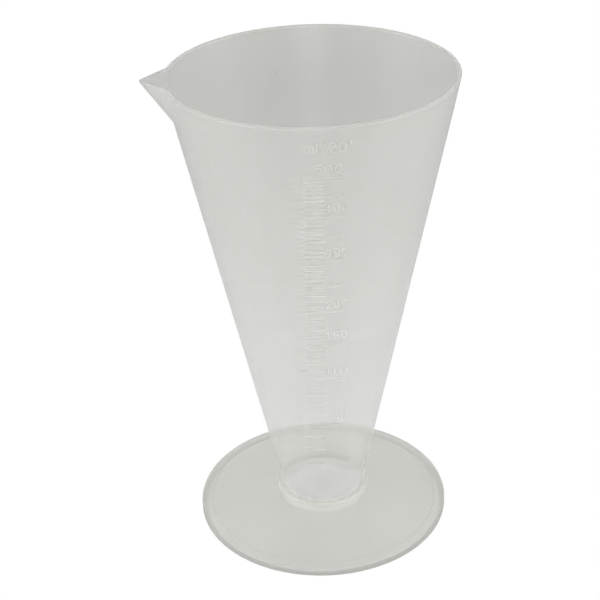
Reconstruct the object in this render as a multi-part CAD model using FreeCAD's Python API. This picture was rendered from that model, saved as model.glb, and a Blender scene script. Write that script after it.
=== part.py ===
"""Conical measuring graduate: a translucent plastic measuring cone pressed into the collar of a disc foot.

Millimetres, +Z up. The origin is on the cone's axis, on the plane that the foot stands on.
The pouring spout points along -X and the graduated scale faces -Y.
"""
import FreeCAD
import Part
import math
import os

# ---- measuring cone ----
HEIGHT = 184.0              # from the table to the rim
RIM_RADIUS = 52.2           # outside, at the rim
TOE_RADIUS = 15.2           # outside, at the cone's flat lower end
WALL = 1.5                  # thickness, square to the slope
FLOOR = 2.0                 # thickness of the vessel's floor
FLOOR_FILLET = 2.5          # inside, where the wall meets the floor
TOE_ROUND = 0.6             # outside, round the lower end
TOE_HOLLOW = 0.4            # how far the underside is dished inside its standing ring
TOE_RING = 2.6              # width of that standing ring
RIM_ROUND = 0.45            # both edges of the rim
GATE_RADIUS = 1.3           # moulding gate's stub under the floor
GATE_STUB = 0.5

# ---- pouring spout ----
SPOUT_REACH = 8.1           # from the outside of the rim to the tip
SPOUT_WIDTH = 24.0          # across its roots, on the outside of the rim
SPOUT_DROP = 17.0           # from the rim down to where the keel meets the cone
SPOUT_TIP_RADIUS = 2.0      # outside, in plan
KEEL_RUN_ON = 3.0           # how far down the keel's line goes on inside the wall
KEEL_END_SHARE = 0.05       # size of that hidden end against the outline at the rim

# ---- foot ----
FOOT_RADIUS = 49.6
FOOT_EDGE = 2.8             # height of the edge
EDGE_ROUND = 0.7            # top of the edge
BEAD_WIDTH = 4.4            # raised band along the edge
BEAD_STEP = 0.5             # how far the band stands above the plate
PLATE = 1.8                 # thickness of the disc at the collar
UNDER_RECESS = 0.5          # from the table up to the disc's underside, just inside the ground ring
SEAT_HEIGHT = 6.0           # table to the seat that the cone's lower end stands on
GROUND_RING = 2.2           # width of the ring that touches the table
COLLAR_HEIGHT = 4.0         # above the seat
COLLAR_WALL = 1.9           # at its top
COLLAR_ROUND = 0.6          # outer top edge
COLLAR_FILLET = 1.0         # where the collar rises from the disc
COLLAR_LEAD = 0.4           # lead-in chamfer of the socket
FIT_CLEARANCE = 0.06        # square to the taper, between the cone and its socket
GATE_CLEARANCE = 0.7        # round and below the cone's gate stub

# ---- scale ----
RELIEF = 0.35               # how far marks and figures stand off the wall
SINK = 0.25                 # how far they run into the wall
STEP_ML = 10
LONG_EVERY_ML = 50
FIRST_ML = 20
FIGURES_EVERY_ML = 100
CLOSE_FIGURES_TO_ML = 200   # up to here, each long mark has a figure
HEADROOM = 18.0             # from the rim down to the highest place for a mark
MARK_WIDTH = 0.6
MARK_DRAFT = 0.1            # each flank's lean
LONG_MARK = 12.7
SHORT_MARK = 6.4
FIGURE_HEIGHT = 3.6
FIGURE_WIDTH = 2.1
FIGURE_GAP = 0.75
FIGURE_STROKE = 0.55
FIGURE_LIFT = 1.6           # from a mark's centre line to the foot of its figure
FIGURE_INDENT = 0.3         # from the end of the short marks to the first figure
TOP_FIGURE_WIDTH = 2.7
UNIT_LIFT = 9.4             # from the top mark to the foot of the unit
UNIT_HEIGHT = 4.3
UNIT_WIDTH = 2.7
UNIT_GAP = 0.65
UNIT_STROKE = 0.6

Z_AXIS = FreeCAD.Vector(0, 0, 1)
ORIGIN = FreeCAD.Vector(0, 0, 0)

TOE_HEIGHT = SEAT_HEIGHT
TAPER = (RIM_RADIUS - TOE_RADIUS) / (HEIGHT - TOE_HEIGHT)
HALF_ANGLE = math.atan(TAPER)
WALL_ACROSS = WALL / math.cos(HALF_ANGLE)
FLOOR_HEIGHT = TOE_HEIGHT + FLOOR
REACH_PAST = 1.0            # how far cutting shapes run past the faces they cut


def outer_radius(z):
    """Outside of the cone at height z."""
    return TOE_RADIUS + TAPER * (z - TOE_HEIGHT)


def inner_radius(z):
    """Inside of the cone at height z."""
    return outer_radius(z) - WALL_ACROSS


def point(r, z):
    """A point of a turned profile, in the XZ half-plane."""
    return FreeCAD.Vector(r, 0, z)


def turned(points, rounds=()):
    """A solid of revolution about Z. rounds gives (corner index, radius) pairs to round in the profile."""
    corners = [point(*p) for p in points]
    radii = dict(rounds)
    edges = []
    start = None
    first = None
    count = len(corners)
    for i in range(count):
        here = corners[i]
        if i in radii:
            before, after, middle = rounded_corner(corners[i - 1], here, corners[(i + 1) % count], radii[i])
        else:
            before = after = here
            middle = None
        if start is not None and start.distanceToPoint(before) > 1e-6:
            edges.append(Part.LineSegment(start, before).toShape())
        if middle is not None:
            edges.append(Part.Arc(before, middle, after).toShape())
        if first is None:
            first = before
        start = after
    if start.distanceToPoint(first) > 1e-6:
        edges.append(Part.LineSegment(start, first).toShape())
    face = Part.Face(Part.Wire(edges))
    return face.revolve(ORIGIN, Z_AXIS, 360)


def rounded_corner(previous, corner, following, radius):
    """Start, end and middle of the arc that rounds a profile corner."""
    to_previous = (previous - corner).normalize()
    to_following = (following - corner).normalize()
    half = to_previous.getAngle(to_following) / 2
    setback = radius / math.tan(half)
    bisector = (to_previous + to_following).normalize()
    centre = corner + bisector * (radius / math.sin(half))
    return corner + to_previous * setback, corner + to_following * setback, centre - bisector * radius


# ---- measuring cone ----
def cone_body():
    """The cone as one solid plug, with its rounded lower end dished inside a standing ring."""
    ring_inside = TOE_RADIUS - TOE_RING
    profile = [
        (0, TOE_HEIGHT + TOE_HOLLOW),
        (ring_inside - TOE_HOLLOW, TOE_HEIGHT + TOE_HOLLOW),
        (ring_inside, TOE_HEIGHT),
        (TOE_RADIUS, TOE_HEIGHT),
        (RIM_RADIUS, HEIGHT),
        (0, HEIGHT),
    ]
    return turned(profile, [(3, TOE_ROUND)])


def cone_hollow():
    """What the cone holds: its inside, run on past the rim."""
    top = HEIGHT + REACH_PAST
    profile = [
        (0, FLOOR_HEIGHT),
        (inner_radius(FLOOR_HEIGHT), FLOOR_HEIGHT),
        (inner_radius(top), top),
        (0, top),
    ]
    return turned(profile, [(1, FLOOR_FILLET)])


def spout_side_angle():
    """Angle in plan between the spout's middle line and the outside of each cheek."""
    root_y = SPOUT_WIDTH / 2
    root_x = math.sqrt(RIM_RADIUS ** 2 - root_y ** 2)
    arc_centre = RIM_RADIUS + SPOUT_REACH - SPOUT_TIP_RADIUS
    along = root_x - arc_centre
    span = math.hypot(along, root_y)
    return math.atan2(along, root_y) + math.acos(SPOUT_TIP_RADIUS / span)


def spout_wedge(inset, top):
    """The spout as a solid that narrows from its outline at the rim to a keel inside the cone's wall.

    inset moves every face inwards: 0 gives the outside and the wall's thickness the inside.
    """
    side = spout_side_angle()
    tip_radius = SPOUT_TIP_RADIUS - inset
    arc_centre = RIM_RADIUS + SPOUT_REACH - SPOUT_TIP_RADIUS
    tip = arc_centre + tip_radius
    rim_radius = RIM_RADIUS if inset == 0 else inner_radius(HEIGHT)
    tangent_x = arc_centre + tip_radius * math.sin(side)
    tangent_y = tip_radius * math.cos(side)
    root_x = cheek_meets_circle(tangent_x, tangent_y, side, rim_radius)
    root_y = tangent_y + (tangent_x - root_x) * math.tan(side)
    outline = Part.Wire([
        Part.LineSegment(plan(root_x, -root_y), plan(tangent_x, -tangent_y)).toShape(),
        Part.Arc(plan(tangent_x, -tangent_y), plan(tip, 0), plan(tangent_x, tangent_y)).toShape(),
        Part.LineSegment(plan(tangent_x, tangent_y), plan(root_x, root_y)).toShape(),
        Part.LineSegment(plan(root_x, root_y), plan(root_x, -root_y)).toShape(),
    ])
    keel_slope = TAPER + SPOUT_REACH / SPOUT_DROP
    drop = (tip - rim_radius) / (keel_slope - TAPER) + KEEL_RUN_ON
    apex = plan(tip - keel_slope * drop, 0) - Z_AXIS * drop
    low_end = outline.copy()
    low_end.scale(KEEL_END_SHARE, apex)
    wedge = Part.makeLoft([outline, low_end], True, True)
    if top > HEIGHT:
        wedge = wedge.fuse(Part.Face(outline).extrude(Z_AXIS * (top - HEIGHT)))
    return wedge


def plan(reach, across):
    """A point at rim height, reach from the axis towards the spout."""
    return FreeCAD.Vector(-reach, across, HEIGHT)


def cheek_meets_circle(start_x, start_y, side, radius):
    """Where a spout cheek that starts near the tip meets the circle of the rim."""
    slope = math.tan(side)
    offset = start_y + slope * start_x
    square = 1 + slope ** 2
    return (slope * offset + math.sqrt(square * radius ** 2 - offset ** 2)) / square


def gate_stub():
    """Stub of the moulding gate under the middle of the floor."""
    dish = TOE_HEIGHT + TOE_HOLLOW
    return Part.makeCylinder(GATE_RADIUS, GATE_STUB + TOE_HOLLOW, point(0, dish - GATE_STUB))


def rim_edges(shape):
    """The edges that bound the flat top of the rim."""
    return [e for e in shape.Edges if all(abs(v.Z - HEIGHT) < 1e-6 for v in e.Vertexes)
            and abs(e.CenterOfMass.z - HEIGHT) < 1e-6]


def vessel_shell():
    """The cone with its spout, hollow, before the scale goes on."""
    shell = cone_body().fuse(spout_wedge(0, HEIGHT))
    shell = shell.cut(cone_hollow())
    shell = shell.cut(spout_wedge(WALL, HEIGHT + REACH_PAST))
    shell = shell.fuse(gate_stub()).removeSplitter()
    return shell.makeFillet(RIM_ROUND, rim_edges(shell))


# ---- scale ----
def volume_to(z):
    """Millilitres held up to height z."""
    low = inner_radius(FLOOR_HEIGHT)
    high = inner_radius(z)
    return math.pi / 3 * (z - FLOOR_HEIGHT) * (low ** 2 + low * high + high ** 2) / 1000


def height_of(volume):
    """Height of the level of so many millilitres."""
    low = inner_radius(FLOOR_HEIGHT)
    level = (low ** 3 + 3000 * volume * TAPER / math.pi) ** (1 / 3)
    return FLOOR_HEIGHT + (level - low) / TAPER


def scale_volumes():
    """Every marked volume. The highest is the last long mark that the headroom leaves room for."""
    highest = int(volume_to(HEIGHT - HEADROOM) // LONG_EVERY_ML) * LONG_EVERY_ML
    return range(FIRST_ML, highest + 1, STEP_ML)


def mark(z, start, length):
    """One raised mark: a drafted rib on the cone. start is an arc length from the scale's middle."""
    radius = outer_radius(z)
    slope = FreeCAD.Vector(math.sin(HALF_ANGLE), 0, math.cos(HALF_ANGLE))
    outward = FreeCAD.Vector(math.cos(HALF_ANGLE), 0, -math.sin(HALF_ANGLE))
    base = point(radius, z)
    half_root = MARK_WIDTH / 2
    half_top = half_root - MARK_DRAFT
    section = [
        base - slope * half_root - outward * SINK,
        base - slope * half_root,
        base - slope * half_top + outward * RELIEF,
        base + slope * half_top + outward * RELIEF,
        base + slope * half_root,
        base + slope * half_root - outward * SINK,
    ]
    face = Part.Face(Part.makePolygon(section + section[:1]))
    face.rotate(ORIGIN, Z_AXIS, scale_bearing(start, radius))
    return face.revolve(ORIGIN, Z_AXIS, math.degrees(length / radius))


def scale_bearing(arc, radius):
    """Direction in degrees of a place on the cone, arc millimetres to the right of the scale's middle."""
    return -90 + math.degrees(arc / radius)


def bar(x0, y0, x1, y1, width):
    """A straight stroke with round ends, as a flat face."""
    along = FreeCAD.Vector(x1 - x0, y1 - y0, 0).normalize()
    across = FreeCAD.Vector(-along.y, along.x, 0) * (width / 2)
    start = FreeCAD.Vector(x0, y0, 0)
    end = FreeCAD.Vector(x1, y1, 0)
    cap = along * (width / 2)
    edges = [
        Part.LineSegment(start - across, end - across).toShape(),
        Part.Arc(end - across, end + cap, end + across).toShape(),
        Part.LineSegment(end + across, start + across).toShape(),
        Part.Arc(start + across, start - cap, start - across).toShape(),
    ]
    return Part.Face(Part.Wire(edges))


def bow(x, y, radius, start, end, width):
    """A curved stroke round (x, y) from start to end degrees, with round ends, as a flat face."""
    def at(r, degrees):
        angle = math.radians(degrees)
        return FreeCAD.Vector(x + r * math.cos(angle), y + r * math.sin(angle), 0)

    outer = radius + width / 2
    inner = radius - width / 2
    middle = (start + end) / 2
    if end - start >= 360:
        ring = Part.Face(Part.Wire(Part.makeCircle(outer, FreeCAD.Vector(x, y, 0))))
        return ring.cut(Part.Face(Part.Wire(Part.makeCircle(inner, FreeCAD.Vector(x, y, 0)))))
    cap = width / 2
    end_cap = at(radius, end) + (at(1, end + 90) - at(0, 0)) * cap
    start_cap = at(radius, start) + (at(1, start - 90) - at(0, 0)) * cap
    edges = [
        Part.Arc(at(outer, start), at(outer, middle), at(outer, end)).toShape(),
        Part.Arc(at(outer, end), end_cap, at(inner, end)).toShape(),
        Part.Arc(at(inner, end), at(inner, middle), at(inner, start)).toShape(),
        Part.Arc(at(inner, start), start_cap, at(outer, start)).toShape(),
    ]
    return Part.Face(Part.Wire(edges))


def glyph_strokes(letter, width, height, stroke):
    """The strokes of one figure, with its lower left corner at the origin."""
    left = stroke / 2
    right = width - stroke / 2
    low = stroke / 2
    high = height - stroke / 2
    middle = width / 2
    lobe = (right - left) / 2
    small_lobe = lobe * 0.9
    arch = lobe / 2
    shoulder = height / 2 + arch * 0.4
    stem = left + lobe * 1.4
    rung = low + (high - low) * 0.3
    flat_of_2 = high - lobe * 1.5
    turn_of_5 = low + lobe * 1.75
    ring = (width - stroke) / 2
    strokes = {
        "0": [(bow, middle, high - lobe, lobe, 0, 180), (bar, left, high - lobe, left, low + lobe),
              (bow, middle, low + lobe, lobe, 180, 360), (bar, right, low + lobe, right, high - lobe)],
        "1": [(bar, middle, low, middle, high), (bar, middle, high, left, high - lobe)],
        "2": [(bow, middle, high - lobe, lobe, -30, 170), (bar, left, low, right, low),
              (bar, middle + lobe * math.cos(math.radians(30)), flat_of_2, left, low)],
        "3": [(bow, middle, high - small_lobe, small_lobe, -90, 150),
              (bow, middle, low + lobe, lobe, -150, 90)],
        "4": [(bar, stem, high, left, rung), (bar, left, rung, right, rung), (bar, stem, high, stem, low)],
        "5": [(bar, right, high, left, high), (bar, left, high, left, turn_of_5),
              (bow, middle, low + lobe, lobe, -150, 130)],
        "6": [(bow, middle, low + lobe, lobe, 0, 360), (bar, left, low + lobe, middle + arch, high)],
        "7": [(bar, left, high, right, high), (bar, right, high, left + arch, low)],
        "8": [(bow, middle, high - small_lobe, small_lobe, 0, 360),
              (bow, middle, low + lobe, lobe, 0, 360)],
        "9": [(bow, middle, high - lobe, lobe, 0, 360), (bar, right, high - lobe, middle - arch, low)],
        "m": [(bar, left, low, left, shoulder + arch), (bow, left + arch, shoulder, arch, 0, 180),
              (bar, middle, low, middle, shoulder), (bow, right - arch, shoulder, arch, 0, 180),
              (bar, right, low, right, shoulder)],
        "l": [(bar, left, low, left, high)],
        "/": [(bar, left, low, right, high)],
        "o": [(bow, middle, high - ring, ring, 0, 360)],
    }
    return [draw(*sizes, stroke) for draw, *sizes in strokes[letter]]


def relief_shell():
    """The thin layer round the cone that figures are cut from."""
    across = math.cos(HALF_ANGLE)
    low = TOE_HEIGHT
    profile = [
        (outer_radius(low) - SINK / across, low),
        (outer_radius(low) + RELIEF / across, low),
        (outer_radius(HEIGHT) + RELIEF / across, HEIGHT),
        (outer_radius(HEIGHT) - SINK / across, HEIGHT),
    ]
    return turned(profile)


def figure(letter, arc, z, width, height, stroke, layer):
    """One raised figure: its foot at height z, its left side at an arc length from the scale's middle."""
    strokes = glyph_strokes(letter, width, height, stroke)
    flat = strokes[0].multiFuse(strokes[1:]).removeSplitter() if len(strokes) > 1 else strokes[0]
    depth = SINK + RELIEF + 2 * REACH_PAST
    block = flat.extrude(FreeCAD.Vector(0, 0, depth))
    block.translate(FreeCAD.Vector(-width / 2, 0, -SINK - REACH_PAST))
    radius = outer_radius(z + height / 2)
    bearing = scale_bearing(arc + width / 2, radius)
    upright = FreeCAD.Rotation(FreeCAD.Vector(1, 0, 0), 90 - math.degrees(HALF_ANGLE))
    turn = FreeCAD.Rotation(Z_AXIS, bearing + 90)
    seat = FreeCAD.Vector(0, -outer_radius(z), z)
    block.Placement = FreeCAD.Placement(turn.multVec(seat), turn.multiply(upright)).multiply(block.Placement)
    return block.common(layer)


def lettering(text, arc, z, widths, gap, height, stroke, layer):
    """Raised figures set side by side, starting arc millimetres from the scale's middle."""
    pieces = []
    for letter, width in zip(text, widths):
        pieces.append(figure(letter, arc, z, width, height, stroke, layer))
        arc += width + gap
    return pieces


def scale_marks():
    """All the raised marks of the scale."""
    start = -LONG_MARK / 2
    pieces = []
    for volume in scale_volumes():
        long_one = volume % LONG_EVERY_ML == 0
        pieces.append(mark(height_of(volume), start, LONG_MARK if long_one else SHORT_MARK))
    return pieces


def scale_figures():
    """The figures beside the long marks, and the unit above them."""
    layer = relief_shell()
    volumes = scale_volumes()
    top = volumes[-1]
    beside = SHORT_MARK - LONG_MARK / 2 + FIGURE_INDENT
    pieces = []
    for volume in volumes:
        close = volume <= CLOSE_FIGURES_TO_ML and volume % LONG_EVERY_ML == 0
        if not close and volume % FIGURES_EVERY_ML:
            continue
        text = str(volume)
        width = TOP_FIGURE_WIDTH if volume == top else FIGURE_WIDTH
        span = len(text) * (width + FIGURE_GAP) - FIGURE_GAP
        right = LONG_MARK / 2 if volume == top else beside + 3 * FIGURE_WIDTH + 2 * FIGURE_GAP
        pieces += lettering(text, right - span, height_of(volume) + FIGURE_LIFT,
                            [width] * len(text), FIGURE_GAP, FIGURE_HEIGHT, FIGURE_STROKE, layer)
    wide = UNIT_WIDTH * 1.25
    slash = UNIT_WIDTH * 0.7
    degree = UNIT_WIDTH * 0.5
    unit_widths = [wide, UNIT_STROKE, slash, UNIT_WIDTH, UNIT_WIDTH, degree]
    pieces += lettering("ml/20o", -LONG_MARK / 2, height_of(top) + UNIT_LIFT,
                        unit_widths, UNIT_GAP, UNIT_HEIGHT, UNIT_STROKE, layer)
    return pieces


def measuring_cone():
    """The vessel: cone, spout, rim, floor and its raised scale, one moulding."""
    return vessel_shell().multiFuse(scale_marks() + scale_figures())


# ---- foot ----
def foot():
    """The disc foot with its raised edge band and the collar that grips the cone's lower end."""
    collar_top = SEAT_HEIGHT + COLLAR_HEIGHT
    clearance = FIT_CLEARANCE / math.cos(HALF_ANGLE)
    bore_top = outer_radius(collar_top) + clearance
    bore_low = outer_radius(SEAT_HEIGHT) + clearance
    collar_radius = bore_top + COLLAR_WALL
    bead_inside = FOOT_RADIUS - BEAD_WIDTH
    plate_edge = FOOT_EDGE - BEAD_STEP
    under_edge = FOOT_RADIUS - GROUND_RING
    pocket = GATE_RADIUS + GATE_CLEARANCE
    pocket_floor = SEAT_HEIGHT - (GATE_STUB - TOE_HOLLOW) - GATE_CLEARANCE
    profile = [
        (0, SEAT_HEIGHT - PLATE),
        (collar_radius, SEAT_HEIGHT - PLATE),
        (under_edge, UNDER_RECESS),
        (under_edge, 0),
        (FOOT_RADIUS, 0),
        (FOOT_RADIUS, FOOT_EDGE),
        (bead_inside + BEAD_STEP, FOOT_EDGE),
        (bead_inside, plate_edge),
        (collar_radius, SEAT_HEIGHT),
        (collar_radius, collar_top),
        (bore_top + COLLAR_LEAD, collar_top),
        (bore_top - TAPER * COLLAR_LEAD, collar_top - COLLAR_LEAD),
        (bore_low, SEAT_HEIGHT),
        (pocket, SEAT_HEIGHT),
        (pocket, pocket_floor),
        (0, pocket_floor),
    ]
    return turned(profile, [(5, EDGE_ROUND), (8, COLLAR_FILLET), (9, COLLAR_ROUND)])


def main():
    os.makedirs("parts", exist_ok=True)
    nodes = {"measuring_cone": measuring_cone(), "foot": foot()}
    for name, shape in nodes.items():
        shape.exportStep("parts/" + name + ".step")
        print(name, "solids", len(shape.Solids), "valid", shape.isValid(),
              "volume", round(shape.Volume), "faces", len(shape.Faces))
    marked = scale_volumes()
    print("marked from", marked[0], "to", marked[-1], "ml; top mark at", round(height_of(marked[-1]), 2))


main()
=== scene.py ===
import bpy
import math
from mathutils import Matrix, Vector


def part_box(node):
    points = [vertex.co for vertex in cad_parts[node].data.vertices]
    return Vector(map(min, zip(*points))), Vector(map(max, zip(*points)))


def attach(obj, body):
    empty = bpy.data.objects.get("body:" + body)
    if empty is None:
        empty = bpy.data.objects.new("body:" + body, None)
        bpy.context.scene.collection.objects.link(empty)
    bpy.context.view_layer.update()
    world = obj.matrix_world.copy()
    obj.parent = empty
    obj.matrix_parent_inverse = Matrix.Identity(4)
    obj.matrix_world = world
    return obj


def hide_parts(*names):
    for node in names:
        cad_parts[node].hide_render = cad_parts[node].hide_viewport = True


# Looks of the conical measuring graduate: moulded cone and foot in translucent plastic, on a white table.
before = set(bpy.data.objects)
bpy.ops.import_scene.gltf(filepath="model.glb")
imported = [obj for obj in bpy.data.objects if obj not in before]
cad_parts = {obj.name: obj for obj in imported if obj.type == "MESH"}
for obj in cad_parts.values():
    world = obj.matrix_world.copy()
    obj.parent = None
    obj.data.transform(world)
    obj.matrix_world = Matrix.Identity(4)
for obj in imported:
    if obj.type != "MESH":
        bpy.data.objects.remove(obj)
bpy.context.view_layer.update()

MM = 0.001
CONE = "measuring_cone"
FOOT = "foot"

# ---- sizes read from the frame ----
_, cone_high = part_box(CONE)
_, foot_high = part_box(FOOT)
HEIGHT = cone_high.z
FOOT_RADIUS = foot_high.x
COLLAR_TOP = foot_high.z

# ---- sizes of the cone, as in the CAD ----
RIM_RADIUS = 52.18 * MM      # 52.2 in the CAD: a hair less keeps the skin within the CAD's box
SEAT = 6.0 * MM
TOE_RADIUS = 15.2 * MM
WALL = 1.5 * MM
FLOOR = 2.0 * MM
FLOOR_FILLET = 2.5 * MM
TOE_ROUND = 0.6 * MM
TOE_HOLLOW = 0.4 * MM
TOE_RING = 2.6 * MM
RIM_ROUND = 0.45 * MM
GATE_RADIUS = 1.3 * MM
GATE_STUB = 0.5 * MM
TAPER = (RIM_RADIUS - TOE_RADIUS) / (HEIGHT - SEAT)
HALF_ANGLE = math.atan(TAPER)
WALL_ACROSS = WALL / math.cos(HALF_ANGLE)
FLOOR_TOP = SEAT + FLOOR
WALL_START = SEAT + 1.5 * MM     # above the rounding of the lower end
WALL_TOP = HEIGHT - 2 * RIM_ROUND
SCALE_BEARING = 1.5 * math.pi
SOFT_EDGE = 0.12 * MM            # rounding that a mould leaves on a sharp edge

# ---- sizes of the spout ----
SPOUT_REACH = 8.1 * MM
SPOUT_WIDTH = 24.0 * MM
SPOUT_DROP = 17.0 * MM
SPOUT_TIP_RADIUS = 2.0 * MM
KEEL_RUN_ON = 3.0 * MM           # how far the keel runs on inside the wall
CREASE_BLEND = 0.2 * MM          # softness of the creases beside the cheeks
BLEND_REACH = 8 * CREASE_BLEND   # the blend is too small to matter beyond this depth

# ---- sizes of the foot ----
EDGE_HEIGHT = 2.8 * MM
EDGE_ROUND = 0.7 * MM
BEAD_WIDTH = 4.4 * MM
BEAD_STEP = 0.5 * MM
PLATE = 1.8 * MM
GROUND_RING = 2.2 * MM
COLLAR_WALL = 1.9 * MM
COLLAR_ROUND = 0.6 * MM
COLLAR_FILLET = 1.0 * MM
COLLAR_LEAD = 0.4 * MM
FIT_CLEARANCE = 0.06 * MM
GATE_CLEARANCE = 0.7 * MM
UNDER_RECESS = 0.5 * MM

# ---- sizes of the scale ----
RELIEF = 0.35 * MM
ML_PER_M3 = 1e6
STEP_ML = 10
LONG_EVERY_ML = 50
FIRST_ML = 20
FIGURES_EVERY_ML = 100
CLOSE_FIGURES_TO_ML = 200
HEADROOM = 18.0 * MM
MARK_WIDTH = 0.6 * MM
LONG_MARK = 12.7 * MM
SHORT_MARK = 6.4 * MM
FIGURE_HEIGHT = 3.6 * MM
FIGURE_WIDTH = 2.1 * MM
FIGURE_GAP = 0.75 * MM
FIGURE_STROKE = 0.55 * MM
FIGURE_LIFT = 1.6 * MM
FIGURE_INDENT = 0.3 * MM
TOP_FIGURE_WIDTH = 2.7 * MM
UNIT_LIFT = 9.4 * MM
UNIT_HEIGHT = 4.3 * MM
UNIT_WIDTH = 2.7 * MM
UNIT_GAP = 0.65 * MM
UNIT_STROKE = 0.6 * MM
FLANK = 0.16 * MM            # how far a mark's side slopes

# ---- fineness of the meshes ----
PATCH_STEP = 0.215 * MM      # between the columns that carry the scale
MARK_ROWS = (-1.1, -0.75, -0.4, 0.4, 0.75, 1.1)    # across a mark, in halves of its width
ROW_STEP = 3.0 * MM
CLOSEST_ROWS = 0.06 * MM
SPOUT_ROWS = 16
SPOUT_MARGIN = 1.0 * MM      # the spout's closer rows start this far below it
SPOUT_COLUMNS = 14
SPOUT_CROWDING = 1.5         # power that crowds the spout's columns towards its tip
CREASE_COLUMNS = (0.96, 1.0, 1.04)    # at a crease, as shares of its angle
NARROWEST_SPOUT = math.radians(2)     # half angle of the spout's columns below the spout
LEFT_COLUMNS = 12            # from the spout to the scale
RIGHT_COLUMNS = 40           # from the scale round the back to the spout
ARC_POINTS = 6
LATHE_STEPS = 240


def outer_radius(z):
    return TOE_RADIUS + TAPER * (z - SEAT)


def inner_radius(z):
    return outer_radius(z) - WALL_ACROSS


def between(start, end, count):
    """The places that cut the way from start to end into count equal steps, without the two ends."""
    return [start + (end - start) * k / count for k in range(1, count)]


def polar(radius, angle):
    return Vector((radius * math.cos(angle), radius * math.sin(angle)))


# ---- turned outlines ----
def rounded(corners):
    """Outline points (r, z) from corners (r, z, rounding). An arc replaces each corner with a rounding."""
    outline = []
    for i, (r, z, rounding) in enumerate(corners):
        here = Vector((r, z))
        if rounding == 0:
            outline.append(here)
            continue
        before = (Vector(corners[i - 1][:2]) - here).normalized()
        after = (Vector(corners[i + 1][:2]) - here).normalized()
        half = before.angle(after) / 2
        centre = here + (before + after).normalized() * (rounding / math.sin(half))
        start = here + before * (rounding / math.tan(half)) - centre
        turn = start.angle_signed(here + after * (rounding / math.tan(half)) - centre)
        for k in range(ARC_POINTS + 1):
            outline.append(centre + Matrix.Rotation(-turn * k / ARC_POINTS, 2) @ start)
    return outline


def lathe(name, outline, steps):
    """A closed turned mesh. The outline starts and ends on the axis."""
    ring_count = len(outline) - 2
    verts = [(0, 0, outline[0].y), (0, 0, outline[-1].y)]
    for p in outline[1:-1]:
        for k in range(steps):
            a = 2 * math.pi * k / steps
            verts.append((p.x * math.cos(a), p.x * math.sin(a), p.y))

    def at(ring, k):
        return 2 + ring * steps + k % steps

    faces = []
    for k in range(steps):
        faces.append((0, at(0, k + 1), at(0, k)))
        faces.append((1, at(ring_count - 1, k), at(ring_count - 1, k + 1)))
        for ring in range(ring_count - 1):
            faces.append((at(ring, k), at(ring, k + 1), at(ring + 1, k + 1), at(ring + 1, k)))
    return mesh_object(name, verts, faces)


def mesh_object(name, verts, faces):
    mesh = bpy.data.meshes.new(name)
    mesh.from_pydata(verts, [], faces)
    mesh.validate()
    mesh.update()
    piece = bpy.data.objects.new(name, mesh)
    bpy.context.scene.collection.objects.link(piece)
    mesh.shade_smooth()
    return piece


# ---- spout ----
class Spout:
    """The spout's wedge, inside or outside, as a radius about the cone's axis."""

    def __init__(self, inset, cone_radius):
        root_y = SPOUT_WIDTH / 2
        root_x = math.sqrt(RIM_RADIUS ** 2 - root_y ** 2)
        self.centre = RIM_RADIUS + SPOUT_REACH - SPOUT_TIP_RADIUS
        along = root_x - self.centre
        self.side = math.atan2(along, root_y) + math.acos(SPOUT_TIP_RADIUS / math.hypot(along, root_y))
        self.tip_radius = SPOUT_TIP_RADIUS - inset
        self.cone_radius = cone_radius
        tip = self.centre + self.tip_radius
        slope = TAPER + SPOUT_REACH / SPOUT_DROP
        drop = (tip - cone_radius(HEIGHT)) / (slope - TAPER) + KEEL_RUN_ON
        self.apex_x = tip - slope * drop
        self.apex_z = HEIGHT - drop
        self.foot_z = self.apex_z + KEEL_RUN_ON
        self.widest = self.crease(HEIGHT)

    def section(self, z):
        """Tip arc's centre and radius, and a cheek's tangent point, at height z."""
        share = (z - self.apex_z) / (HEIGHT - self.apex_z)
        centre = self.apex_x + (self.centre - self.apex_x) * share
        radius = self.tip_radius * share
        return centre, radius, centre + radius * math.sin(self.side), radius * math.cos(self.side)

    def crease(self, z):
        """Angle from the spout's middle line at which a cheek meets the cone at height z."""
        if z <= self.foot_z:
            return 0.0
        _, _, tangent_x, tangent_y = self.section(z)
        slope = math.tan(self.side)
        offset = tangent_y + slope * tangent_x
        square = 1 + slope ** 2
        x = (slope * offset + math.sqrt(square * self.cone_radius(z) ** 2 - offset ** 2)) / square
        return math.atan2(tangent_y + (tangent_x - x) * slope, x)

    def radius(self, angle, z):
        """Distance from the axis to the wall at this angle from the spout's middle line."""
        round_wall = self.cone_radius(z)
        a = abs(angle)
        if z <= self.apex_z or a > 2 * self.widest:
            return round_wall
        centre, radius, tangent_x, tangent_y = self.section(z)
        if a < math.atan2(tangent_y, tangent_x):
            wedge = centre * math.cos(a) + math.sqrt(radius ** 2 - (centre * math.sin(a)) ** 2)
        else:
            slope = math.tan(self.side)
            wedge = (tangent_y + slope * tangent_x) / (math.sin(a) + slope * math.cos(a))
        gap = wedge - round_wall
        if gap < -BLEND_REACH:
            return round_wall
        return round_wall + (gap + math.sqrt(gap ** 2 + CREASE_BLEND ** 2)) / 2


# ---- scale ----
def volume_to(z):
    """What the inside holds up to height z, in millilitres."""
    low = inner_radius(FLOOR_TOP)
    high = inner_radius(z)
    return math.pi / 3 * (z - FLOOR_TOP) * (low ** 2 + low * high + high ** 2) * ML_PER_M3


def height_of(volume):
    """Height to which a volume in millilitres fills the inside."""
    low = inner_radius(FLOOR_TOP)
    level = (low ** 3 + 3 * volume / ML_PER_M3 * TAPER / math.pi) ** (1 / 3)
    return FLOOR_TOP + (level - low) / TAPER


def bar(x0, y0, x1, y1):
    """A straight stroke of a figure, from one point to another."""
    return ("bar", x0, y0, x1, y1)


def bow(x, y, radius, start, end):
    """A stroke on an arc about (x, y), from one bearing to another in degrees."""
    return ("bow", x, y, radius, math.radians(start), math.radians(end))


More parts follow.
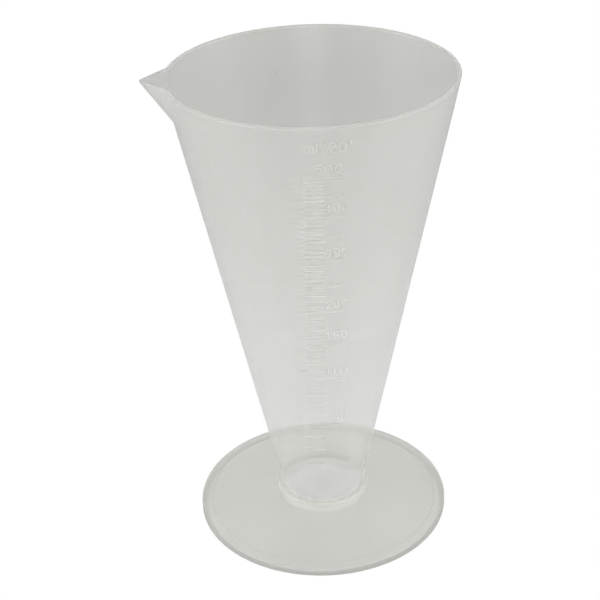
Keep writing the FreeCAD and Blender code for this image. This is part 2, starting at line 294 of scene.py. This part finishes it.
def glyph(letter, width, height, stroke):
    """Centre lines of one figure's strokes, with its lower left corner at the origin."""
    left = stroke / 2
    right = width - stroke / 2
    low = stroke / 2
    high = height - stroke / 2
    middle = width / 2
    lobe = (right - left) / 2
    arch = (right - left) / 4
    shoulder = height / 2 + arch * 0.4
    stem = left + lobe * 1.4
    rung = low + (high - low) * 0.3
    strokes = {
        "0": [bow(middle, high - lobe, lobe, 0, 180), bar(left, high - lobe, left, low + lobe),
              bow(middle, low + lobe, lobe, 180, 360), bar(right, low + lobe, right, high - lobe)],
        "1": [bar(middle, low, middle, high), bar(middle, high, left, high - lobe)],
        "2": [bow(middle, high - lobe, lobe, -30, 170),
              bar(middle + lobe * math.cos(math.radians(30)), high - lobe * 1.5, left, low),
              bar(left, low, right, low)],
        "3": [bow(middle, high - lobe * 0.95, lobe * 0.95, -90, 150),
              bow(middle, low + lobe, lobe, -150, 90)],
        "4": [bar(stem, high, left, rung), bar(left, rung, right, rung), bar(stem, high, stem, low)],
        "5": [bar(right, high, left, high), bar(left, high, left, low + lobe * 1.75),
              bow(middle, low + lobe, lobe, -150, 130)],
        "m": [bar(left, low, left, shoulder + arch), bow(left + arch, shoulder, arch, 0, 180),
              bar(left + 2 * arch, low, left + 2 * arch, shoulder),
              bow(left + 3 * arch, shoulder, arch, 0, 180), bar(right, low, right, shoulder)],
        "l": [bar(left, low, left, high)],
        "/": [bar(left, low, right, high)],
        "o": [bow(middle, high - (width - stroke) / 2, (width - stroke) / 2, 0, 360)],
    }
    return strokes[letter]


def distance_to(stroke, x, y):
    """Distance from a point to a stroke's centre line."""
    if stroke[0] == "bar":
        _, x0, y0, x1, y1 = stroke
        length = math.hypot(x1 - x0, y1 - y0)
        along = ((x - x0) * (x1 - x0) + (y - y0) * (y1 - y0)) / length ** 2
        along = min(1, max(0, along))
        return math.hypot(x - x0 - along * (x1 - x0), y - y0 - along * (y1 - y0))
    _, cx, cy, radius, start, end = stroke
    turn = (math.atan2(y - cy, x - cx) - start) % (2 * math.pi)
    if turn <= end - start:
        return abs(math.hypot(x - cx, y - cy) - radius)
    return min(math.hypot(x - cx - radius * math.cos(a), y - cy - radius * math.sin(a)) for a in (start, end))


class Scale:
    """The raised marks and figures, as a height above the wall at an arc length and a height."""

    def __init__(self):
        highest = int(volume_to(HEIGHT - HEADROOM) // LONG_EVERY_ML) * LONG_EVERY_ML
        self.marks = []
        self.bands = []
        for v in range(FIRST_ML, highest + 1, STEP_ML):
            is_long = v % LONG_EVERY_ML == 0
            self.marks.append((height_of(v), LONG_MARK if is_long else SHORT_MARK))
            if v % FIGURES_EVERY_ML == 0 or is_long and v <= CLOSE_FIGURES_TO_ML:
                self.add_volume(v, v == highest)
        wide_m = UNIT_WIDTH * 1.25
        slash = UNIT_WIDTH * 0.7
        degree = UNIT_WIDTH * 0.5
        widths = [wide_m, UNIT_STROKE, slash, UNIT_WIDTH, UNIT_WIDTH, degree]
        self.add("ml/20o", -LONG_MARK / 2, height_of(highest) + UNIT_LIFT, widths,
                 UNIT_GAP, UNIT_HEIGHT, UNIT_STROKE)
        self.left = -LONG_MARK / 2 - 2 * FLANK
        self.right = max(x + w for _, _, letters in self.bands for _, x, w, _ in letters) + 2 * FLANK

    def add_volume(self, volume, is_top):
        text = str(volume)
        width = TOP_FIGURE_WIDTH if is_top else FIGURE_WIDTH
        span = len(text) * (width + FIGURE_GAP) - FIGURE_GAP
        start = SHORT_MARK - LONG_MARK / 2 + FIGURE_INDENT
        right = LONG_MARK / 2 if is_top else start + 3 * FIGURE_WIDTH + 2 * FIGURE_GAP
        self.add(text, right - span, height_of(volume) + FIGURE_LIFT, [width] * len(text),
                 FIGURE_GAP, FIGURE_HEIGHT, FIGURE_STROKE)

    def add(self, text, arc, foot, widths, gap, height, stroke):
        """Sets a line of text, with its lower left corner at an arc length and a height."""
        letters = []
        for letter, width in zip(text, widths):
            letters.append((glyph(letter, width, height, stroke), arc, width, stroke))
            arc += width + gap
        self.bands.append((foot, height, letters))

    def rows(self):
        """Heights at which the marks and figures need a row of points."""
        half = MARK_WIDTH / 2
        rows = []
        for z, _ in self.marks:
            rows += [z + k * half for k in MARK_ROWS]
        for foot, height, _ in self.bands:
            count = int((height + 4 * FLANK) / PATCH_STEP)
            rows += [foot - 2 * FLANK + k * PATCH_STEP for k in range(count + 1)]
        return rows

    def edge(self, distance, half_width):
        """Relief beside an edge: full height inside the stroke, nothing outside, a smooth slope between."""
        t = min(1, max(0, (half_width - distance) / FLANK + 0.5))
        return RELIEF * t * t * (3 - 2 * t)

    def relief(self, arc, z):
        """Height above the wall at an arc length from the scale's middle and a height."""
        best = 0.0
        for mark_z, length in self.marks:
            if abs(z - mark_z) < MARK_WIDTH:
                end = -LONG_MARK / 2 + length
                beyond = max(0, -LONG_MARK / 2 - arc, arc - end)
                best = max(best, self.edge(math.hypot(beyond, z - mark_z), MARK_WIDTH / 2 - FLANK / 2))
        for foot, height, letters in self.bands:
            if not -FLANK < z - foot < height + FLANK:
                continue
            for strokes, left, width, stroke in letters:
                if -FLANK < arc - left < width + FLANK:
                    near = min(distance_to(s, arc - left, z - foot) for s in strokes)
                    best = max(best, self.edge(near, stroke / 2 - FLANK / 2))
        return best


# ---- the cone's mesh ----
class ConeMesh:
    """One closed skin of rows round the cone. Columns follow the spout's creases and the scale's sides."""

    def __init__(self):
        self.scale = Scale()
        self.outside = Spout(0, outer_radius)
        self.inside = Spout(WALL, inner_radius)
        self.verts = []
        self.faces = []
        shares = [(k / SPOUT_COLUMNS) ** SPOUT_CROWDING for k in range(1, SPOUT_COLUMNS)]
        shares += CREASE_COLUMNS
        self.spout_shares = [-s for s in reversed(shares)] + [0] + shares
        span = self.scale.right - self.scale.left
        count = round(span / PATCH_STEP)
        self.patch_arcs = [self.scale.left + span * k / count for k in range(count + 1)]
        self.patch_start = len(self.spout_shares) + LEFT_COLUMNS - 1

    def build(self):
        ring = self.under_side()
        ring = self.outer_wall(ring)
        ring = self.rim(ring)
        self.inner_wall(ring)
        return mesh_object("graduate_cone", self.verts, self.faces)

    # -- points and rows --
    def angles(self, spout, z, radius):
        """Bearing of every column at height z, starting at the spout's far edge."""
        half = max(spout.crease(z), NARROWEST_SPOUT)
        angles = [math.pi + half * s for s in self.spout_shares]
        scale_start = SCALE_BEARING + self.patch_arcs[0] / radius
        angles += between(angles[-1], scale_start, LEFT_COLUMNS)
        angles += [SCALE_BEARING + arc / radius for arc in self.patch_arcs]
        angles += between(angles[-1], 3 * math.pi - half * self.spout_shares[-1], RIGHT_COLUMNS)
        return angles

    def point(self, r, angle, z):
        self.verts.append((r * math.cos(angle), r * math.sin(angle), z))
        return len(self.verts) - 1

    def row(self, spout, z):
        """A full row on the plain wall, inside or outside."""
        radius = spout.cone_radius(z)
        return [self.point(spout.radius(a - math.pi, z), a, z) for a in self.angles(spout, z, radius)]

    def scale_row(self, z):
        """A full row on the outside, with the scale's relief on its columns."""
        radius = outer_radius(z)
        arcs = dict(enumerate(self.patch_arcs, self.patch_start))
        ids = []
        for k, angle in enumerate(self.angles(self.outside, z, radius)):
            lift = self.scale.relief(arcs[k], z) if k in arcs else 0.0
            r = self.outside.radius(angle - math.pi, z) + lift * math.cos(HALF_ANGLE)
            ids.append(self.point(r, angle, z - lift * math.sin(HALF_ANGLE)))
        return ids

    def turned_row(self, p, spout, z):
        """A round row at outline point p, whose columns stand at the bearings that they have at height z."""
        return [self.point(p.x, a, p.y) for a in self.angles(spout, z, spout.cone_radius(z))]

    def join(self, lower, upper):
        """Quads between two full rows."""
        count = len(lower)
        for k in range(count):
            n = (k + 1) % count
            self.faces.append((lower[k], lower[n], upper[n], upper[k]))

    def join_all(self, ring, rows):
        for upper in rows:
            self.join(ring, upper)
            ring = upper
        return ring

    def cap(self, ids, z, up):
        """A fan from a row to a point on the axis."""
        centre = self.point(0, 0, z)
        count = len(ids)
        for k in range(count):
            n = (k + 1) % count
            self.faces.append((ids[k], ids[n], centre) if up else (ids[n], ids[k], centre))

    # -- parts of the skin, in order --
    def under_side(self):
        """The underside, from the gate's stub out to the foot of the wall."""
        dish = SEAT + TOE_HOLLOW
        ring_inside = TOE_RADIUS - TOE_RING
        outline = rounded([
            (0, dish - GATE_STUB, 0), (GATE_RADIUS, dish - GATE_STUB, SOFT_EDGE),
            (GATE_RADIUS, dish, SOFT_EDGE), (ring_inside - TOE_HOLLOW, dish, SOFT_EDGE),
            (ring_inside, SEAT, SOFT_EDGE), (TOE_RADIUS, SEAT, TOE_ROUND),
            (outer_radius(WALL_START), WALL_START, 0),
        ])[1:]
        rings = [self.turned_row(p, self.outside, SEAT) for p in outline[:-1]]
        self.cap(rings[0], outline[0].y, False)
        return self.join_all(rings[0], rings[1:])

    def outer_wall(self, ring):
        """The outside, up to where the rim's rounding begins."""
        spout_low = self.outside.foot_z - SPOUT_MARGIN
        low_rows = round((spout_low - WALL_START) / ROW_STEP)
        heights = [WALL_START, *between(WALL_START, spout_low, low_rows)]
        heights += between(spout_low, WALL_TOP, SPOUT_ROWS)
        heights = sorted(heights + self.scale.rows())
        rows = []
        last = WALL_START - ROW_STEP
        for z in heights:
            if z - last > CLOSEST_ROWS and z < WALL_TOP - CLOSEST_ROWS:
                rows.append(self.scale_row(z))
                last = z
        rows.append(self.scale_row(WALL_TOP))
        return self.join_all(ring, rows)

    def rim(self, ring):
        """The rounding of the rim's outer edge, its flat, and the rounding of its inner edge."""
        ring = self.join_all(ring, self.rounding(self.outside, 1))
        return self.join_all(ring, self.rounding(self.inside, -1))

    def rounding(self, spout, side):
        """Rows of a rounding that touches both wall and flat. side is 1 outside and -1 inside."""
        angles = self.angles(spout, HEIGHT, spout.cone_radius(HEIGHT))
        top = [polar(spout.radius(a - math.pi, HEIGHT), a) for a in angles]
        below = [polar(spout.radius(a - math.pi, HEIGHT - RIM_ROUND), a) for a in angles]
        columns = []
        for k, here in enumerate(top):
            along = (top[(k + 1) % len(top)] - top[k - 1]).normalized()
            outward = Vector((along.y, -along.x))
            lean = math.atan((here - below[k]).dot(outward) / RIM_ROUND)
            setback = RIM_ROUND / math.tan((math.pi / 2 - side * lean) / 2)
            centre = here - side * outward * setback
            start, end = (-lean, math.pi / 2) if side == 1 else (math.pi / 2, math.pi - lean)
            columns.append([(centre + outward * RIM_ROUND * math.cos(a), RIM_ROUND * math.sin(a))
                            for a in [start, *between(start, end, ARC_POINTS), end]])
        rows = []
        for places in zip(*columns):
            first = len(self.verts)
            self.verts += [(p.x, p.y, HEIGHT - RIM_ROUND + rise) for p, rise in places]
            rows.append(list(range(first, len(self.verts))))
        return rows

    def inner_wall(self, ring):
        """The inside, down to the floor and in to the axis."""
        fillet_top = FLOOR_TOP + 2 * FLOOR_FILLET
        outline = rounded([(inner_radius(fillet_top), fillet_top, 0),
                           (inner_radius(FLOOR_TOP), FLOOR_TOP, FLOOR_FILLET), (0, FLOOR_TOP, 0)])
        spout_low = self.inside.foot_z - SPOUT_MARGIN
        low_rows = round((spout_low - fillet_top) / ROW_STEP)
        heights = [WALL_TOP, *between(WALL_TOP, spout_low, SPOUT_ROWS), spout_low,
                   *between(spout_low, fillet_top, low_rows)]
        ring = self.join_all(ring, [self.row(self.inside, z) for z in heights])
        floor = [self.turned_row(p, self.inside, fillet_top) for p in outline[:-1]]
        self.cap(self.join_all(ring, floor), FLOOR_TOP, True)


def foot_outline():
    """Outline of the foot, from under its middle round the edge and the collar into the socket."""
    clearance = FIT_CLEARANCE / math.cos(HALF_ANGLE)
    bore_top = outer_radius(COLLAR_TOP) + clearance
    bore_low = outer_radius(SEAT) + clearance
    collar = bore_top + COLLAR_WALL
    bead_inside = FOOT_RADIUS - BEAD_WIDTH
    plate_edge = EDGE_HEIGHT - BEAD_STEP
    under_edge = FOOT_RADIUS - GROUND_RING
    pocket = GATE_RADIUS + GATE_CLEARANCE
    pocket_floor = SEAT - (GATE_STUB - TOE_HOLLOW) - GATE_CLEARANCE
    return rounded([
        (0, SEAT - PLATE, 0), (collar, SEAT - PLATE, 0),
        (under_edge, UNDER_RECESS, SOFT_EDGE), (under_edge, 0, SOFT_EDGE),
        (FOOT_RADIUS, 0, SOFT_EDGE), (FOOT_RADIUS, EDGE_HEIGHT, EDGE_ROUND),
        (bead_inside + BEAD_STEP, EDGE_HEIGHT, 2 * SOFT_EDGE), (bead_inside, plate_edge, 2 * SOFT_EDGE),
        (collar, SEAT, COLLAR_FILLET), (collar, COLLAR_TOP, COLLAR_ROUND),
        (bore_top + COLLAR_LEAD, COLLAR_TOP, SOFT_EDGE),
        (bore_top - TAPER * COLLAR_LEAD, COLLAR_TOP - COLLAR_LEAD, SOFT_EDGE),
        (bore_low, SEAT, SOFT_EDGE), (pocket, SEAT, SOFT_EDGE),
        (pocket, pocket_floor, SOFT_EDGE), (0, pocket_floor, 0),
    ])


# ---- material ----
CONE_TINT = (0.95, 0.955, 0.89)
FOOT_TINT = (0.87, 0.872, 0.81)
# painted shade: this grey darkens the upright face round the foot's edge, standing in for shade where the
# foot meets the table
EDGE_PAINTED_SHADE = (0.6, 0.6, 0.56)     # of the upright face round the foot's edge
CLOUD_SHADE = 0.975              # the darkest clouds, as a share of the tint
CONE_CLOUDS = 30 * MM
FOOT_CLOUDS = 20 * MM
FLOW_SCALE = 420                 # of the flow lines across their length, for each metre
FLOW_STRETCH = 0.12              # share of that scale along the axis
FLOW_DEPTH = 0.2 * MM
GRAIN_SCALE = 2600
GRAIN_DEPTH = 0.04 * MM
SATIN = (0.24, 0.36)             # the least and the greatest roughness
REFRACTION = 1.49
SCATTER_DEPTH = 0.8 * MM         # how far light spreads inside the plastic
SCATTER_COLOURS = (1.0, 1.0, 0.96)

# ---- how milky the plastic is, from 0 for clear to 1 for opaque ----
CONE_ALPHA = 0.28
TOE_ALPHA = 0.13
CLEAR_TOE = (25 * MM, 95 * MM)   # heights between which the wall turns from clear to milky
MARK_ALPHA = 0.5
MARKS_FADE = (20 * MM, 110 * MM)     # heights between which the marks gain their full milkiness
FAINTEST_MARKS = 0.2
RIM_ALPHA = 0.52
FOOT_ALPHA = 0.42
LIP_ALPHA = 0.75
TOUCHING = 0.3                   # share of the alpha where cone and foot touch, with no air between


def feed(tree, socket, value):
    """Links a socket to another node's output, or sets it to a plain value."""
    if isinstance(value, bpy.types.NodeSocket):
        tree.links.new(value, socket)
    else:
        socket.default_value = value


def add_node(tree, kind, inputs, **settings):
    """A new shader node. Each input is given by its name or number, with what it gets."""
    node = tree.nodes.new("ShaderNode" + kind)
    for name, value in settings.items():
        setattr(node, name, value)
    for name, value in inputs.items():
        feed(tree, node.inputs[name], value)
    return node


def math_node(tree, operation, *values):
    return add_node(tree, "Math", dict(enumerate(values)), operation=operation).outputs["Value"]


class Plastic:
    """Natural polypropylene: milky, a little cloudy, with a satin skin and faint flow lines of the melt."""

    def __init__(self, name, tint, cloud_size):
        self.material = bpy.data.materials.new(name)
        self.material.use_nodes = True
        self.tree = self.material.node_tree
        self.shader = self.tree.nodes["Principled BSDF"]
        self.place = add_node(self.tree, "TexCoord", {}).outputs["Object"]
        split = add_node(self.tree, "SeparateXYZ", {"Vector": self.place})
        self.y = split.outputs["Y"]
        self.z = split.outputs["Z"]
        squares = self.math("ADD", self.math("POWER", split.outputs["X"], 2), self.math("POWER", self.y, 2))
        self.radius = self.math("SQRT", squares)
        self.colour = self.clouds(tint, cloud_size)
        self.set("Base Color", self.colour)
        self.satin()
        self.set("IOR", REFRACTION)
        self.set("Subsurface Weight", 1.0)
        self.set("Subsurface Radius", SCATTER_COLOURS)
        self.set("Subsurface Scale", SCATTER_DEPTH)

    def set(self, name, value):
        feed(self.tree, self.shader.inputs[name], value)

    def math(self, operation, *values):
        return math_node(self.tree, operation, *values)

    def ramp(self, value, start, end, low=0.0, high=1.0):
        """A value that goes from low to high while the given one goes from start to end."""
        inputs = {"Value": value, "From Min": start, "From Max": end, "To Min": low, "To Max": high}
        return add_node(self.tree, "MapRange", inputs).outputs["Result"]

    def noise(self, place, scale, detail):
        inputs = {"Vector": place, "Scale": scale, "Detail": detail}
        return add_node(self.tree, "TexNoise", inputs).outputs["Fac"]

    def clouds(self, tint, size):
        """The plastic's colour, a touch darker in soft clouds."""
        colours = add_node(self.tree, "ValToRGB", {"Fac": self.noise(self.place, 1 / size, 3)})
        dark, light = colours.color_ramp.elements
        dark.position = 0.3
        dark.color = (*[c * CLOUD_SHADE for c in tint], 1)
        light.position = 0.7
        light.color = (*tint, 1)
        return colours.outputs["Color"]

    def satin(self):
        """The skin: flow lines of the melt, which also change its gloss, and a fine grain."""
        stretched = add_node(self.tree, "Mapping", {"Vector": self.place, "Scale": (1, 1, FLOW_STRETCH)})
        flow = self.noise(stretched.outputs["Vector"], FLOW_SCALE, 4)
        grain = self.noise(self.place, GRAIN_SCALE, 2)
        lines = add_node(self.tree, "Bump", {"Height": flow, "Strength": 0.12, "Distance": FLOW_DEPTH})
        skin = add_node(self.tree, "Bump", {"Height": grain, "Strength": 0.1, "Distance": GRAIN_DEPTH,
                                            "Normal": lines.outputs["Normal"]})
        self.set("Roughness", self.ramp(flow, 0, 1, *SATIN))
        self.set("Normal", skin.outputs["Normal"])

    def raised(self):
        """1 on the marks and figures of the scale, less towards the toe, and 0 on the bare wall."""
        wall = self.math("ADD", self.math("MULTIPLY", self.z, TAPER), TOE_RADIUS - TAPER * SEAT)
        relief = self.ramp(self.math("SUBTRACT", self.radius, wall), 0.2 * RELIEF, 0.8 * RELIEF)
        before_spout = self.math("LESS_THAN", self.y, -SPOUT_WIDTH / 2)
        strength = self.ramp(self.z, *MARKS_FADE, FAINTEST_MARKS, 1.0)
        return self.math("MULTIPLY", self.math("MULTIPLY", relief, before_spout), strength)


def cone_plastic():
    """Clearer near the toe, and milkier where light gathers: in the raised scale and in the rim."""
    plastic = Plastic("cone_plastic", CONE_TINT, CONE_CLOUDS)
    wall = plastic.ramp(plastic.z, *CLEAR_TOE, TOE_ALPHA, CONE_ALPHA)
    seated = plastic.ramp(plastic.z, FLOOR_TOP + 0.1 * MM, FLOOR_TOP + FLOOR_FILLET, TOUCHING, 1.0)
    marks = plastic.math("MULTIPLY", plastic.raised(), MARK_ALPHA - CONE_ALPHA)
    rim = plastic.ramp(plastic.z, HEIGHT - 2 * RIM_ROUND, HEIGHT - RIM_ROUND, 0, RIM_ALPHA - CONE_ALPHA)
    off_spout = plastic.ramp(plastic.radius, RIM_RADIUS, RIM_RADIUS + WALL, 1.0, 0.0)
    gathered = plastic.math("MAXIMUM", marks, plastic.math("MULTIPLY", rim, off_spout))
    plastic.set("Alpha", plastic.math("ADD", plastic.math("MULTIPLY", wall, seated), gathered))
    return plastic.material


def foot_plastic():
    """Milkier in the collar's lip, clearer in the socket, and greyer on the upright face round the edge:
    painted shade, not a colour of the plastic.
    """
    plastic = Plastic("foot_plastic", FOOT_TINT, FOOT_CLOUDS)
    lip = plastic.ramp(plastic.z, COLLAR_TOP - 2 * COLLAR_ROUND, COLLAR_TOP - COLLAR_ROUND,
                       FOOT_ALPHA, LIP_ALPHA)
    bore = plastic.math("LESS_THAN", plastic.radius, outer_radius(COLLAR_TOP) + 2 * FIT_CLEARANCE)
    below_lip = plastic.math("LESS_THAN", plastic.z, COLLAR_TOP - 1.5 * COLLAR_LEAD)
    socket = plastic.ramp(plastic.math("MULTIPLY", bore, below_lip), 0, 1, 1.0, TOUCHING)
    plastic.set("Alpha", plastic.math("MULTIPLY", lip, socket))
    # painted shade: this mask greys the upright face round the edge in place of shade along the table
    face = plastic.ramp(plastic.radius, FOOT_RADIUS - 0.5 * EDGE_ROUND, FOOT_RADIUS - 0.1 * EDGE_ROUND)
    mix = add_node(plastic.tree, "Mix", {"A": plastic.colour, "B": (*EDGE_PAINTED_SHADE, 1), "Factor": face},
                   data_type="RGBA")
    plastic.set("Base Color", mix.outputs["Result"])
    return plastic.material


# ---- stage, light and camera ----
STAGE_HALF = 6.0
ROOM_GLOW = 0.2                  # of the room above the table, as the plastic sees it
STAGE_GLOW = 0.455               # of the table far from the object, as the plastic sees it
POOL_GLOW = 0.245                # added round the object
POOL_RADIUS = 300 * MM
LAMP_DISTANCE = 1.5              # of every lamp from the point at which it aims
LAMP_AIM = Vector((0, 0, 90 * MM))


def white_to_camera(tree, dim):
    """A strength that is 1 to the camera's own rays, and dim to the plastic and to all seen through it."""
    ray = add_node(tree, "LightPath", {})
    past_plastic = math_node(tree, "GREATER_THAN", ray.outputs["Transparent Depth"], 0.5)
    seen = math_node(tree, "SUBTRACT", ray.outputs["Is Camera Ray"], past_plastic)
    return math_node(tree, "MAXIMUM", seen, dim)


def table_material():
    """Plain white to the camera. To the plastic it is a soft grey, lighter close to the object."""
    material = bpy.data.materials.new("white_table")
    material.use_nodes = True
    tree = material.node_tree
    tree.nodes.clear()
    place = add_node(tree, "NewGeometry", {}).outputs["Position"]
    distance = add_node(tree, "VectorMath", {0: place}, operation="LENGTH").outputs["Value"]
    fall = math_node(tree, "POWER", math_node(tree, "DIVIDE", distance, POOL_RADIUS), 2)
    pool = math_node(tree, "DIVIDE", POOL_GLOW, math_node(tree, "POWER", math.e, fall))
    strength = white_to_camera(tree, math_node(tree, "ADD", pool, STAGE_GLOW))
    glow = add_node(tree, "Emission", {"Strength": strength})
    add_node(tree, "OutputMaterial", {"Surface": glow.outputs["Emission"]})
    return material


def white_stage():
    """A table with no shadow on it."""
    mesh = bpy.data.meshes.new("table")
    corners = [(-STAGE_HALF, -STAGE_HALF, 0), (STAGE_HALF, -STAGE_HALF, 0),
               (STAGE_HALF, STAGE_HALF, 0), (-STAGE_HALF, STAGE_HALF, 0)]
    mesh.from_pydata(corners, [], [(0, 1, 2, 3)])
    table = bpy.data.objects.new("table", mesh)
    bpy.context.scene.collection.objects.link(table)
    table.data.materials.append(table_material())


def soft_light(name, bearing, rise, size, watts):
    """A round soft box. Its bearing is in degrees to the right of the camera, and its rise above level."""
    data = bpy.data.lights.new(name, "AREA")
    data.shape = "DISK"
    data.size = size
    data.energy = watts
    turn = CAMERA_BEARING + math.radians(bearing)
    lift = math.radians(rise)
    away = Vector((math.cos(turn) * math.cos(lift), math.sin(turn) * math.cos(lift), math.sin(lift)))
    light = bpy.data.objects.new(name, data)
    light.location = LAMP_AIM + away * LAMP_DISTANCE
    light.rotation_euler = (-away).to_track_quat("-Z", "Y").to_euler()
    bpy.context.scene.collection.objects.link(light)


def studio():
    """The light: a dim room that looks white to the camera, and five soft lamps."""
    scene = bpy.context.scene
    world = bpy.data.worlds.new("studio")
    world.use_nodes = True
    background = world.node_tree.nodes["Background"]
    background.inputs["Color"].default_value = (1, 1, 1, 1)
    feed(world.node_tree, background.inputs["Strength"], white_to_camera(world.node_tree, ROOM_GLOW))
    scene.world = world
    scene.view_settings.view_transform = "Standard"
    soft_light("overhead", 0, 88, 1.6, 2.0)
    soft_light("front", 0, 8, 0.6, 6.0)
    soft_light("left", -80, 20, 0.9, 7.5)
    soft_light("right", 80, 20, 0.9, 6.8)
    soft_light("back", 180, 35, 1.0, 4.0)


CAMERA_OUT = 461.0 * MM          # from the cone's axis, level
CAMERA_UP = 352.0 * MM
CAMERA_BEARING = math.radians(-93.5)
CAMERA_YAW = math.radians(-0.84)
CAMERA_DIP = math.radians(29.33)
CAMERA_ROLL = math.radians(-1.99)
CAMERA_LENS = 83.58              # in mm, on a sensor 36 mm wide
CAMERA_SENSOR = 36.0


def camera():
    """The photo's view: from in front and above, rolled a little."""
    data = bpy.data.cameras.new("camera")
    data.lens = CAMERA_LENS
    data.sensor_width = CAMERA_SENSOR
    data.clip_start = 0.01
    data.clip_end = 50
    bearing = Vector((math.cos(CAMERA_BEARING), math.sin(CAMERA_BEARING), 0))
    eye = bearing * CAMERA_OUT + Vector((0, 0, CAMERA_UP))
    heading = CAMERA_BEARING + math.pi - CAMERA_YAW
    forward = Vector((math.cos(heading), math.sin(heading), 0)) * math.cos(CAMERA_DIP)
    forward.z = -math.sin(CAMERA_DIP)
    right = forward.cross(Vector((0, 0, 1))).normalized()
    up = right.cross(forward)
    turned_right = right * math.cos(CAMERA_ROLL) + up * math.sin(CAMERA_ROLL)
    turned_up = up * math.cos(CAMERA_ROLL) - right * math.sin(CAMERA_ROLL)
    basis = Matrix((turned_right, turned_up, -forward)).transposed()
    eye_object = bpy.data.objects.new("camera", data)
    eye_object.matrix_world = Matrix.Translation(eye) @ basis.to_4x4()
    bpy.context.scene.collection.objects.link(eye_object)
    bpy.context.scene.camera = eye_object


def dress(piece, node, body, material):
    """Gives a piece its material, and has it stand for a CAD node and move with that node's body."""
    piece.data.materials.append(material)
    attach(piece, body)
    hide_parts(node)


studio()
white_stage()
camera()
dress(ConeMesh().build(), CONE, CONE, cone_plastic())
dress(lathe("graduate_foot", foot_outline(), LATHE_STEPS), FOOT, FOOT, foot_plastic())
